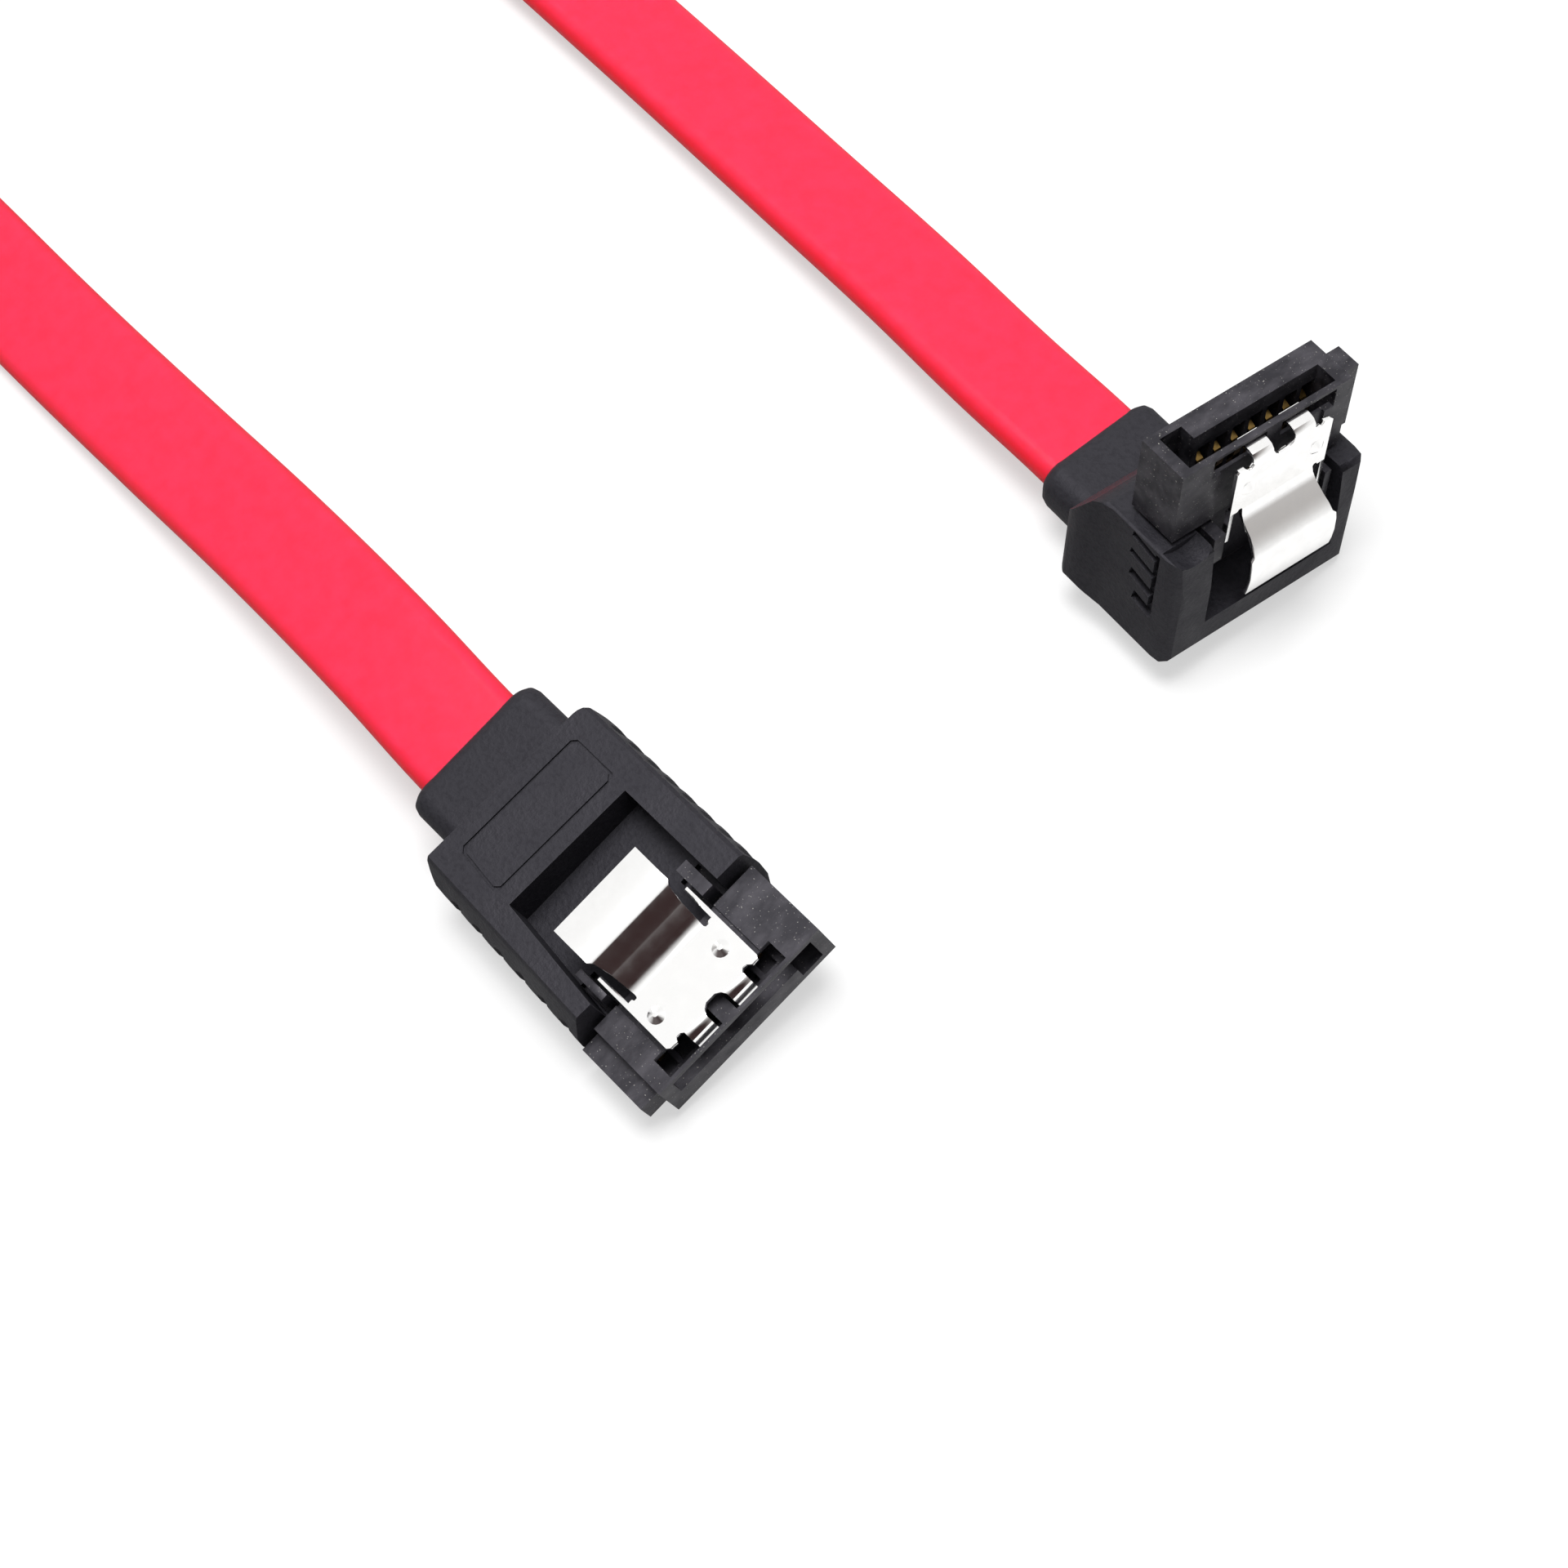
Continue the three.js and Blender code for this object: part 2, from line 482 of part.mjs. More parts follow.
function angledOvermould() {
  const side = [
    [ANGLED_BASE, -3.1], [ANGLED_BASE, 4.5], [ANGLED_BASE + 0.25, 5.0], [ANGLED_BASE + 0.8, 5.25],
    [-9, 5.2], [-6, 4.95], [BODY_FRONT, 4.6], [BODY_FRONT, -1.0], [-6.2, -1.9], [-9.0, -3.8],
    [-9.8, ANGLED_BACK],
    [ANGLED_BASE + 0.9, ANGLED_BACK], [ANGLED_BASE + 0.3, -3.7],
  ];
  const edge = [
    [5.85, 5.3], [6.5, 5.12], [6.93, 4.65], [7.05, 4.0], [7.05, -0.5], [7.2, -1.3],
    [7.42, -2.1], [7.5, -2.7], [7.42, -3.3], [7.1, -3.8], [6.5, -4.0],
  ];
  const plan = [...edge, ...edge.map(([x, z]) => [0.1 - x, z]).reverse()];
  let body = alongX(polygon(side), -9, 9).intersect(alongY(polygon(plan), ANGLED_BASE - 1, 0));
  body = body.intersect(raised(roundedRectangle(-7.4, 7.5, ANGLED_BASE, BODY_FRONT, 0.8), -9, 9));
  const middle = ANGLED_CABLE_SHIFT;
  const rounding = NECK_ROUNDING.map(([depth, inset]) => [ANGLED_NECK_BACK + depth, inset]);
  const rings = [...rounding, [ANGLED_BACK - 0.4, 0]];
  const [left, right] = [middle + ANGLED_NECK_LEFT, middle + ANGLED_NECK_RIGHT];
  const neck = neckBody(left, right, ANGLED_BASE, ANGLED_NECK_TOP, 1.4, rings, ANGLED_NECK_SKEW);
  body = body.add(solid(neck));
  const mould = [ANGLED_MOULD[0], ANGLED_MOULD[1], ANGLED_MOULD[2], TAIL_TOP];
  const cuts = hollows(ANGLED_POCKET_REAR, POCKET_RIGHT, ANGLED_MOULD[1], mould);
  const bore = stadium(CABLE_WIDTH / 2 + GAP, CABLE_THICKNESS / 2 + GAP, 5, middle, ANGLED_CABLE_LEVEL);
  cuts.push(raised(polygon(bore), ANGLED_NECK_BACK - 1, ANGLED_MOULD[2] - 0.2));
  const scoop = new THREE.CylinderGeometry(SCOOP_RADIUS, SCOOP_RADIUS, 4, 20);
  scoop.rotateX(Math.PI / 2);
  scoop.translate((STRAIGHT_LEFT + POCKET_LEFT) / 2 - 0.2, BODY_FRONT + 1.44, HOUSING_THICKNESS + 2.1);
  cuts.push(solid(scoop));
  for (const near of SLOT_SIDES) {
    for (const [slotLevel, height, z0, z1] of SLOTS) {
      const slot = new THREE.BoxGeometry(SLOT_REACH, height, z1 - z0);
      slot.rotateX(SLOT_LEAN);
      slot.translate(near + SLOT_REACH / 2, slotLevel, (z0 + z1) / 2);
      cuts.push(solid(slot));
    }
    cuts.push(block(near, near + SLOT_REACH, -11.4, -6.1, 3.15, 3.5));
  }
  return shell(cuts.reduce((rest, cut) => rest.subtract(cut), body));
}

// Frame of the cable at one place: where its middle is, which way is across and which way its face looks.
function station(origin, across, face) {
  return (x, y) => origin.clone().addScaledVector(across, x).addScaledVector(face, y);
}

function connectorStation(matrix, place, across, face) {
  const origin = new THREE.Vector3(...place).applyMatrix4(matrix);
  const turned = (axis) => new THREE.Vector3(...axis).transformDirection(matrix);
  return station(origin, turned(across), turned(face));
}

function routeStations(first, last) {
  const points = [first, ...ROUTE.map(([x, y, z]) => new THREE.Vector3(FRAME_X + x, FRAME_Y + y, z)), last];
  const rolls = [ROUTE[0][3], ...ROUTE.map((row) => row[3]), ROUTE[ROUTE.length - 1][3]];
  const line = new THREE.CatmullRomCurve3(points, false, "centripetal");
  const rollPoints = rolls.map((roll) => new THREE.Vector3(roll, 0, 0));
  const rolling = new THREE.CatmullRomCurve3(rollPoints, false, "catmullrom", 0.5);
  const stations = [];
  for (let i = 1; i < CABLE_STEPS; i += 1) {
    const place = i / CABLE_STEPS;
    const tangent = line.getTangent(place);
    const flat = new THREE.Vector3(0, 0, 1).cross(tangent).normalize();
    const up = tangent.clone().cross(flat);
    const roll = rolling.getPoint(place).x * DEGREE;
    const across = flat.clone().multiplyScalar(Math.cos(roll)).addScaledVector(up, -Math.sin(roll));
    const face = up.clone().multiplyScalar(Math.cos(roll)).addScaledVector(flat, Math.sin(roll));
    stations.push(station(line.getPoint(place), across, face));
  }
  return stations;
}

// Draws a section along the stations; each piece may fan out sideways inside the two connectors.
function drawn(outline, stations, shifts) {
  const steps = stations.length - 1;
  const geometry = extruded(polygon(outline), steps, 1, steps);
  const position = geometry.attributes.position;
  for (let i = 0; i < position.count; i += 1) {
    const index = Math.round(position.getZ(i));
    const place = stations[index](position.getX(i) + shifts[index], position.getY(i));
    position.setXYZ(i, place.x, place.y, place.z);
  }
  return solid(geometry);
}

function cable(straight, angled) {
  const level = STRAIGHT_CABLE_LEVEL;
  const atStraight = (y) => connectorStation(straight, [0, y, level], [1, 0, 0], [0, 0, 1]);
  const place = (z) => [ANGLED_CABLE_SHIFT, ANGLED_CABLE_LEVEL, z];
  const atAngled = (z) => connectorStation(angled, place(z), [1, 0, 0], [0, 1, 0]);
  const first = atStraight(STRAIGHT_NECK_REAR - 0.3)(0, 0);
  const last = atAngled(ANGLED_NECK_BACK - 0.3)(0, 0);
  const head = [-15.9, -16.8, -18.8, -19.6, STRAIGHT_NECK_REAR - 0.3].map(atStraight);
  const foot = [ANGLED_NECK_BACK - 0.3, -5.7, -5.0, -2.8, -1.9].map(atAngled);
  const stations = [...head, ...routeStations(first, last), ...foot];
  const count = stations.length;
  const piece = (outline, holes, trim, headShift, middleShift, footShift) => {
    const shifts = stations.map(() => middleShift);
    shifts[0] = headShift;
    shifts[1] = headShift;
    shifts[count - 1] = footShift;
    shifts[count - 2] = footShift;
    const run = (shape, cut) => {
      const end = count - cut;
      return drawn(shape, stations.slice(cut, end), shifts.slice(cut, end));
    };
    return shell(holes.reduce((left, hole) => left.subtract(run(hole, trim - 1)), run(outline, trim)));
  };
  const pieces = [];
  const pairs = [-PAIR_SPACING / 2, PAIR_SPACING / 2];
  const channels = pairs.map((x) => stadium(1.3, 0.62, 3, x));
  const skin = stadium(CABLE_WIDTH / 2, CABLE_THICKNESS / 2, 5);
  pieces.push(named("cable_jacket", piece(skin, channels, 3, 0, 0, 0), 0xe3203c, 0.42));
  pairs.forEach((x, i) => {
    const foil = piece(stadium(1.24, 0.56, 3, x), [stadium(1.14, 0.46, 3, x)], 2, 0, 0, 0);
    pieces.push(named(`cable_foil_${i + 1}`, foil, 0xc4c8cc, 0.3, 0.9));
  });
  const ring = (radius, sides) => {
    const points = [];
    for (let i = 0; i < sides; i += 1) {
      const angle = ((i + 0.5) / sides) * Math.PI * 2;
      points.push([radius * Math.cos(angle), radius * Math.sin(angle)]);
    }
    return points;
  };
  [2, 3, 5, 6].forEach((number, i) => {
    const middle = pairs[Math.floor(i / 2)] + (i % 2 ? CORE_OFFSET : -CORE_OFFSET);
    const target = contactPlace(number);
    const shifts = [target, middle, target - ANGLED_CABLE_SHIFT];
    const sleeve = piece(ring(CORE_RADIUS, 6), [ring(0.2, 4)], 1, ...shifts);
    pieces.push(named(`cable_core_insulation_${i + 1}`, sleeve, 0xefeadf, 0.5));
    const wire = piece(ring(WIRE_RADIUS, 4), [], 0, ...shifts);
    pieces.push(named(`cable_core_wire_${i + 1}`, wire, 0xb9b4a8, 0.35, 1));
  });
  [[1, 0], [4, -0.28], [4, 0.28], [7, 0]].forEach(([number, aside], i) => {
    const middle = pairs[Math.floor(i / 2)] + (i % 2 ? DRAIN_OFFSET : -DRAIN_OFFSET);
    const target = contactPlace(number) + aside;
    const wire = piece(ring(DRAIN_RADIUS, 4), [], 0, target, middle, target - ANGLED_CABLE_SHIFT);
    pieces.push(named(`cable_drain_wire_${i + 1}`, wire, 0xb9b4a8, 0.35, 1));
  });
  return pieces;
}

function connector(prefix, tailRear, tail, overmould, mould) {
  const group = new THREE.Group();
  group.name = `${prefix}_connector`;
  group.add(named(`${prefix}_housing`, housing(tailRear), 0x141517, 0.34));
  group.add(named(`${prefix}_latch`, latch(), 0xd9d7d2, 0.24, 1));
  for (let number = 1; number <= CONTACT_COUNT; number += 1) {
    group.add(named(`${prefix}_contact_${number}`, contact(number, tail), 0xc79c45, 0.3, 1));
  }
  group.add(named(`${prefix}_inner_mould`, mould, 0xd8d4c8, 0.55));
  group.add(named(`${prefix}_overmould`, overmould, 0x1b1c1f, 0.55));
  return group;
}

// Lowers a placed group until its lowest point is on the table.
function setDown(group) {
  group.updateMatrixWorld(true);
  const box = new THREE.Box3().setFromObject(group, true);
  group.position.z -= box.min.z;
  group.updateMatrixWorld(true);
}

const straightTail = [[-13.4, CONTACT_LEVEL], [-14.3, STRAIGHT_CABLE_LEVEL], [-15.6, STRAIGHT_CABLE_LEVEL]];
const angledTail = [
  [-12.45, CONTACT_LEVEL], [-12.77, 1.1], [ANGLED_CABLE_LEVEL, 0.8], [ANGLED_CABLE_LEVEL, -1.6],
];

const root = new THREE.Group();
root.name = "sata_data_cable";

const straightMould = innerMould(STRAIGHT_MOULD, "y");
const straight = connector("straight", -12.4, straightTail, straightOvermould(), straightMould);
straight.rotation.set(0, STRAIGHT_ROLL, -Math.PI / 2, "ZYX");
straight.position.set(FRAME_X, FRAME_Y, 0);
setDown(straight);
root.add(straight);

const angledMould = innerMould(ANGLED_MOULD, "z");
const leaning = connector("angled", -10.9, angledTail, angledOvermould(), angledMould);
leaning.rotation.z = -ANGLED_LEAN;
const angled = new THREE.Group();
angled.name = "angled_stand";
angled.add(leaning);
angled.rotation.set(Math.PI / 2, 0, Math.PI / 2 + ANGLED_TURN, "ZYX");
angled.position.set(FRAME_X + ANGLED_X, FRAME_Y + ANGLED_Y, 0);
setDown(angled);
root.add(angled);

root.add(...cable(straight.matrixWorld, leaning.matrixWorld));

export default root;
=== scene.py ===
# %% [markdown]
# A short flat data cable lies on a white table. One end has a straight connector and the other
# a right-angled one, and both have a sprung metal latch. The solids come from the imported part.
# This notebook gives them rounded edges and real finishes. Everything is in metres, so a tenth
# of a millimetre is 0.0001, and the value MM keeps the numbers readable.

# %% Load the frame
import json
import math

import bmesh
import bpy
from mathutils import Matrix, Vector


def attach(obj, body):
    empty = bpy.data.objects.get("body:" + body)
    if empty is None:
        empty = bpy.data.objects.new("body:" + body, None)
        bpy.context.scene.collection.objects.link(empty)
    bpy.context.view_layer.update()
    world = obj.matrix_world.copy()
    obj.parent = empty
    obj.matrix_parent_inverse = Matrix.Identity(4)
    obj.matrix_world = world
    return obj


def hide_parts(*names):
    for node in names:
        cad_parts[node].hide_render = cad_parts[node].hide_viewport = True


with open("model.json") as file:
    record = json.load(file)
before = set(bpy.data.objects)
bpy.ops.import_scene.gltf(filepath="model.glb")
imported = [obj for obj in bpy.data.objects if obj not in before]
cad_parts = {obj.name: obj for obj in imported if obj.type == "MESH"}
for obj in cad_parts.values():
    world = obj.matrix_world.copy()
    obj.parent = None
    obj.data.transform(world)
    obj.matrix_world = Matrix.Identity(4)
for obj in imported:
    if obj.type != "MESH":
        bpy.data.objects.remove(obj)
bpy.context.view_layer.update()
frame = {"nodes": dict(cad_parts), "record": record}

MM = 0.001
nodes = frame["nodes"]
print("pieces in the frame:", len(nodes))

# %% [markdown]
# The camera looks down at the two connectors from the front, about sixty degrees above the table.
# Its place was solved from the contacts, whose spacing is a known standard, so the lens is long
# and the picture shows very little perspective. The three directions are the camera's right,
# its up and its back.

# %% Camera
CAMERA_PLACE = Vector((85.34, -58.92, 175.55)) * MM
CAMERA_RIGHT = Vector((0.66059, 0.7428, -0.10893))
CAMERA_UP = Vector((-0.61874, 0.62085, 0.48136))
CAMERA_BACK = Vector((0.42518, -0.25058, 0.86973))
LENS = 80.99
SENSOR_WIDTH = 36
NEAREST_SEEN = 10 * MM

camera_data = bpy.data.cameras.new("camera")
camera_data.lens = LENS
camera_data.sensor_width = SENSOR_WIDTH
camera_data.clip_start = NEAREST_SEEN
camera = bpy.data.objects.new("camera", camera_data)
bpy.context.scene.collection.objects.link(camera)
turn = Matrix((CAMERA_RIGHT, CAMERA_UP, CAMERA_BACK)).transposed()
camera.matrix_world = Matrix.Translation(CAMERA_PLACE) @ turn.to_4x4()
bpy.context.scene.camera = camera
print("camera height in mm:", round(CAMERA_PLACE.z / MM, 1))

# %% [markdown]
# The cable is one flat extruded jacket. It leaves each connector with the tilt of its neck, sinks
# to the table, stands up on its edge where it has to turn, and comes back. A flat cable bends
# easily over its face and hardly at all in its plane, so the turn is on edge.
# Each row below is a place of the middle line in millimetres and the roll of the cable there in
# degrees. The two matrices put a connector's own frame, in millimetres, into the frame of the part.

# %% Route of the cable
FRAME_SHIFT = Vector((11.0, -20.1, 0.0))
ROUTE = [
    (-32, -0.29, 4.9, 14), (-43, 0.05, 3.85, 14), (-55, 0.1, 2.6, 14), (-67, 0.1, 1.85, 14),
    (-79, 0.2, 1.7, 15.5), (-90, 0.05, 2.15, 26), (-100, -0.9, 2.95, 47), (-110, -2.2, 3.5, 70),
    (-119, -2.9, 3.68, 86), (-128.2, -1.7, 3.7, 90), (-136, 2.9, 3.7, 90), (-141.8, 10.4, 3.7, 90),
    (-144, 21.1, 3.7, 90), (-141.8, 31.8, 3.7, 90), (-136, 39.3, 3.7, 90), (-128.2, 43.9, 3.7, 90),
    (-119, 45.1, 3.68, 86), (-109.5, 44.6, 3.5, 70), (-99, 43.5, 2.95, 47), (-88, 42.5, 2.15, 25),
    (-77, 41.95, 1.6, 12), (-66, 41.65, 1.5, 9.5), (-54, 41.2, 1.55, 9.5), (-42, 40.6, 1.75, 9.5),
    (-31, 39.95, 2.15, 9.5), (-22, 39.15, 2.6, 9.5),
]
CABLE_WIDTH = 7.45 * MM
CABLE_THICKNESS = 2.0 * MM

STRAIGHT = Matrix((
    (0, 1, 0, 11.0), (-0.970296, 0, -0.241922, -20.1),
    (-0.241922, 0, 0.970296, 2.40947), (0, 0, 0, 1),
))
ANGLED = Matrix((
    (0.072234, 0.012088, 0.997314, 5.94), (0.983637, 0.164604, -0.073238, 20.84),
    (-0.165048, 0.986286, 0, 15.414249), (0, 0, 0, 1),
))

# Ends of the cable inside the necks, as points in each connector's own frame, and the roll there
STRAIGHT_ENDS = [(0, -19.6, 2.8), (0, -23.5, 2.8)]
ANGLED_ENDS = [(-0.8, -12.88, -9.55), (-0.8, -12.88, -5.7)]
STRAIGHT_ROLL = 14
ANGLED_ROLL = 9.5


def placed(pose, x, y, z):
    """A point in a connector's own frame, in millimetres, as a point of the part in metres."""
    return (pose @ Vector((x, y, z))) * MM


route = [placed(STRAIGHT, *end) for end in STRAIGHT_ENDS]
route += [(Vector((x, y, z)) + FRAME_SHIFT) * MM for x, y, z, _ in ROUTE]
route += [placed(ANGLED, *end) for end in ANGLED_ENDS]
rolls = [STRAIGHT_ROLL] * 2 + [row[3] for row in ROUTE] + [ANGLED_ROLL] * 2

# %% [markdown]
# Geometry Nodes sweep the jacket's outline along that route. The outline is a rectangle whose
# corners are rounded right over, so both edges of the cable are half round. The sweep also keeps
# how far along and how far around each point lies, because the finish of an extruded skin
# follows its length.

# %% Node helpers


def tree_input(tree, name, kind, value):
    item = tree.interface.new_socket(name, in_out="INPUT", socket_type=kind)
    if value is not None:
        item.default_value = value
    return item.identifier


def add_node(tree, kind, values=None, **settings):
    node = tree.nodes.new(kind)
    for key, value in settings.items():
        setattr(node, key, value)
    for key, value in (values or {}).items():
        node.inputs[key].default_value = value
    return node


def join(tree, start, end):
    tree.links.new(start, end)


def baked(name, source):
    """The evaluated shape of an object as a plain mesh object at the origin."""
    graph = bpy.context.evaluated_depsgraph_get()
    mesh = bpy.data.meshes.new_from_object(source.evaluated_get(graph), depsgraph=graph)
    mesh.name = name
    piece = bpy.data.objects.new(name, mesh)
    bpy.context.scene.collection.objects.link(piece)
    bpy.data.objects.remove(source)
    return piece


# %% Sweep of the jacket
RINGS = 420
STEPS_BETWEEN_PLACES = 24
CORNER_SHARE = 0.49
CORNER_STEPS = 7


def sweep_tree():
    tree = bpy.data.node_groups.new("flat_cable_sweep", "GeometryNodeTree")
    tree_input(tree, "Route", "NodeSocketGeometry", None)
    ids = {
        "width": tree_input(tree, "Width", "NodeSocketFloat", CABLE_WIDTH),
        "thickness": tree_input(tree, "Thickness", "NodeSocketFloat", CABLE_THICKNESS),
        "rings": tree_input(tree, "Rings", "NodeSocketInt", RINGS),
        "finish": tree_input(tree, "Finish", "NodeSocketMaterial", None),
    }
    tree.interface.new_socket("Jacket", in_out="OUTPUT", socket_type="NodeSocketGeometry")
    start = add_node(tree, "NodeGroupInput")
    end = add_node(tree, "NodeGroupOutput")
    rings = add_node(tree, "GeometryNodeResampleCurve", mode="COUNT")
    join(tree, start.outputs["Route"], rings.inputs["Curve"])
    join(tree, start.outputs["Rings"], rings.inputs["Count"])
    along = add_node(tree, "GeometryNodeCaptureAttribute", domain="POINT")
    along.capture_items.new("FLOAT", "along")
    place = add_node(tree, "GeometryNodeSplineParameter")
    join(tree, rings.outputs["Curve"], along.inputs["Geometry"])
    join(tree, place.outputs["Length"], along.inputs["along"])
    outline = add_node(tree, "GeometryNodeCurvePrimitiveQuadrilateral", mode="RECTANGLE")
    join(tree, start.outputs["Width"], outline.inputs["Width"])
    join(tree, start.outputs["Thickness"], outline.inputs["Height"])
    radius = add_node(tree, "ShaderNodeMath", {1: CORNER_SHARE}, operation="MULTIPLY")
    join(tree, start.outputs["Thickness"], radius.inputs[0])
    fillet = add_node(tree, "GeometryNodeFilletCurve", {"Count": CORNER_STEPS}, mode="POLY")
    join(tree, outline.outputs["Curve"], fillet.inputs["Curve"])
    join(tree, radius.outputs[0], fillet.inputs["Radius"])
    around = add_node(tree, "GeometryNodeCaptureAttribute", domain="POINT")
    around.capture_items.new("FLOAT", "around")
    outline_place = add_node(tree, "GeometryNodeSplineParameter")
    join(tree, fillet.outputs["Curve"], around.inputs["Geometry"])
    join(tree, outline_place.outputs["Length"], around.inputs["around"])
    sweep = add_node(tree, "GeometryNodeCurveToMesh", {"Fill Caps": True})
    join(tree, along.outputs["Geometry"], sweep.inputs["Curve"])
    join(tree, around.outputs["Geometry"], sweep.inputs["Profile Curve"])
    last = sweep.outputs["Mesh"]
    kept = {"cable_along": along.outputs["along"], "cable_around": around.outputs["around"]}
    for name, source in kept.items():
        keep = add_node(tree, "GeometryNodeStoreNamedAttribute", {"Name": name})
        keep.data_type = "FLOAT"
        keep.domain = "POINT"
        join(tree, last, keep.inputs["Geometry"])
        join(tree, source, keep.inputs["Value"])
        last = keep.outputs["Geometry"]
    smooth = add_node(tree, "GeometryNodeSetShadeSmooth")
    whole = add_node(tree, "GeometryNodeRealizeInstances")
    finish = add_node(tree, "GeometryNodeSetMaterial")
    join(tree, last, smooth.inputs["Geometry"])
    join(tree, smooth.outputs["Geometry"], whole.inputs["Geometry"])
    join(tree, whole.outputs["Geometry"], finish.inputs["Geometry"])
    join(tree, start.outputs["Finish"], finish.inputs["Material"])
    join(tree, finish.outputs["Geometry"], end.inputs["Jacket"])
    return tree, ids


def route_curve():
    curve = bpy.data.curves.new("cable_route", "CURVE")
    curve.dimensions = "3D"
    curve.twist_mode = "Z_UP"
    curve.resolution_u = STEPS_BETWEEN_PLACES
    spline = curve.splines.new("BEZIER")
    spline.tilt_interpolation = "CARDINAL"
    spline.bezier_points.add(len(route) - 1)
    for point, place, roll in zip(spline.bezier_points, route, rolls):
        point.co = place
        point.handle_left_type = point.handle_right_type = "AUTO"
        point.tilt = math.radians(-roll)
    holder = bpy.data.objects.new("cable_route", curve)
    bpy.context.scene.collection.objects.link(holder)
    return holder


red_skin = bpy.data.materials.new("red_cable_skin")
tree, ids = sweep_tree()
holder = route_curve()
modifier = holder.modifiers.new("sweep", "NODES")
modifier.node_group = tree
modifier[ids["finish"]] = red_skin
jacket = baked("jacket_skin", holder)
print("jacket:", len(jacket.data.polygons), "faces")
print("jacket's box in mm:", [round(v / MM, 1) for v in jacket.dimensions])

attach(jacket, "cable_set")
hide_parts("cable_jacket")

# %% [markdown]
# The finishes share a few building blocks. A grain is a fine noise that only moves the surface
# normal. A patchy value spreads a roughness between two limits, so that a highlight breaks up
# as it does on a handled part. Most patterns read Object coordinates, which are metres here. The
# jacket's lines follow the sweep's own attributes, and paler edges, partly wear and partly a painted
# highlight, follow one of the copied solids.

# %% Finish helpers

# A colour mix has its two colours on these inputs, and its result on this output
MIX_FIRST = 6
MIX_SECOND = 7
MIX_RESULT = 2


def finish(name, color, roughness, metallic=0.0, material=None):
    material = material or bpy.data.materials.new(name)
    material.use_nodes = True
    tree = material.node_tree
    tree.nodes.clear()
    shader = add_node(tree, "ShaderNodeBsdfPrincipled", {
        "Base Color": (*color, 1), "Roughness": roughness, "Metallic": metallic,
    })
    output = add_node(tree, "ShaderNodeOutputMaterial")
    join(tree, shader.outputs["BSDF"], output.inputs["Surface"])
    return material, tree, shader


def object_place(tree, stretch=(1, 1, 1)):
    coordinates = add_node(tree, "ShaderNodeTexCoord")
    mapping = add_node(tree, "ShaderNodeMapping", {"Scale": stretch})
    join(tree, coordinates.outputs["Object"], mapping.inputs["Vector"])
    return mapping.outputs["Vector"]


def noise(tree, place, size_mm, detail=3.0, rough=0.55):
    """Noise whose features are about size_mm across."""
    settings = {"Scale": 1 / (size_mm * MM), "Detail": detail, "Roughness": rough}
    texture = add_node(tree, "ShaderNodeTexNoise", settings)
    join(tree, place, texture.inputs["Vector"])
    return texture.outputs["Fac"]


def spread(tree, value, low, high, start=0.3, stop=0.7):
    """Moves a value from start..stop to low..high."""
    limits = {"From Min": start, "From Max": stop, "To Min": low, "To Max": high}
    change = add_node(tree, "ShaderNodeMapRange", limits)
    join(tree, value, change.inputs["Value"])
    return change.outputs["Result"]


def blended(tree, factor, first, second):
    mixer = add_node(tree, "ShaderNodeMix", data_type="RGBA")
    join(tree, factor, mixer.inputs["Factor"])
    for key, color in ((MIX_FIRST, first), (MIX_SECOND, second)):
        if isinstance(color, tuple):
            mixer.inputs[key].default_value = (*color, 1)
        else:
            join(tree, color, mixer.inputs[key])
    return mixer.outputs[MIX_RESULT]


def wear_and_edge_highlight(tree):
    """One on the rounded edges of a copied solid, nothing on its flats."""
    return add_node(tree, "ShaderNodeAttribute", attribute_name="wear_and_edge_highlight").outputs["Fac"]


def times(tree, first, second):
    """The product of two values."""
    product = add_node(tree, "ShaderNodeMath", operation="MULTIPLY")
    join(tree, first, product.inputs[0])
    join(tree, second, product.inputs[1])
    return product.outputs[0]


def bumped(tree, shader, heights):
    """Stacks bumps on the shader's normal. Each height is a value, a strength and a depth in mm."""
    last = None
    for value, strength, depth_mm in heights:
        bump = add_node(tree, "ShaderNodeBump", {"Strength": strength, "Distance": depth_mm * MM})
        join(tree, value, bump.inputs["Height"])
        if last is not None:
            join(tree, last, bump.inputs["Normal"])
        last = bump.outputs["Normal"]
    join(tree, last, shader.inputs["Normal"])


# %% [markdown]
# The jacket is red soft PVC with a satin skin. Extrusion leaves very fine lines along its length,
# and the plastic has a slight orange-peel waviness. The colour is painted deeper red where the
# surface faces less far up, a painted shade on the half round edges and on the sides where the
# cable stands on edge. Light also enters the soft plastic a little way before it leaves it again.

# %% Red cable skin
LINE_STRETCH = 0.04

_, tree, shader = finish("red_cable_skin", (0.94, 0.022, 0.07), 0.42, material=red_skin)
shader.inputs["Specular IOR Level"].default_value = 0.3
shader.inputs["Subsurface Weight"].default_value = 0.6
shader.inputs["Subsurface Radius"].default_value = (1, 0.14, 0.12)
shader.inputs["Subsurface Scale"].default_value = 1.2 * MM
along = add_node(tree, "ShaderNodeAttribute", attribute_name="cable_along").outputs["Fac"]
around = add_node(tree, "ShaderNodeAttribute", attribute_name="cable_around").outputs["Fac"]
pair = add_node(tree, "ShaderNodeCombineXYZ")
slow = add_node(tree, "ShaderNodeMath", {1: LINE_STRETCH}, operation="MULTIPLY")
join(tree, along, slow.inputs[0])
join(tree, slow.outputs[0], pair.inputs["X"])
join(tree, around, pair.inputs["Y"])
lines = noise(tree, pair.outputs["Vector"], 0.12, 4)
place = object_place(tree)
waves = noise(tree, place, 1.1, 2)
speckle = noise(tree, place, 0.16, 2)
facing = add_node(tree, "ShaderNodeSeparateXYZ")
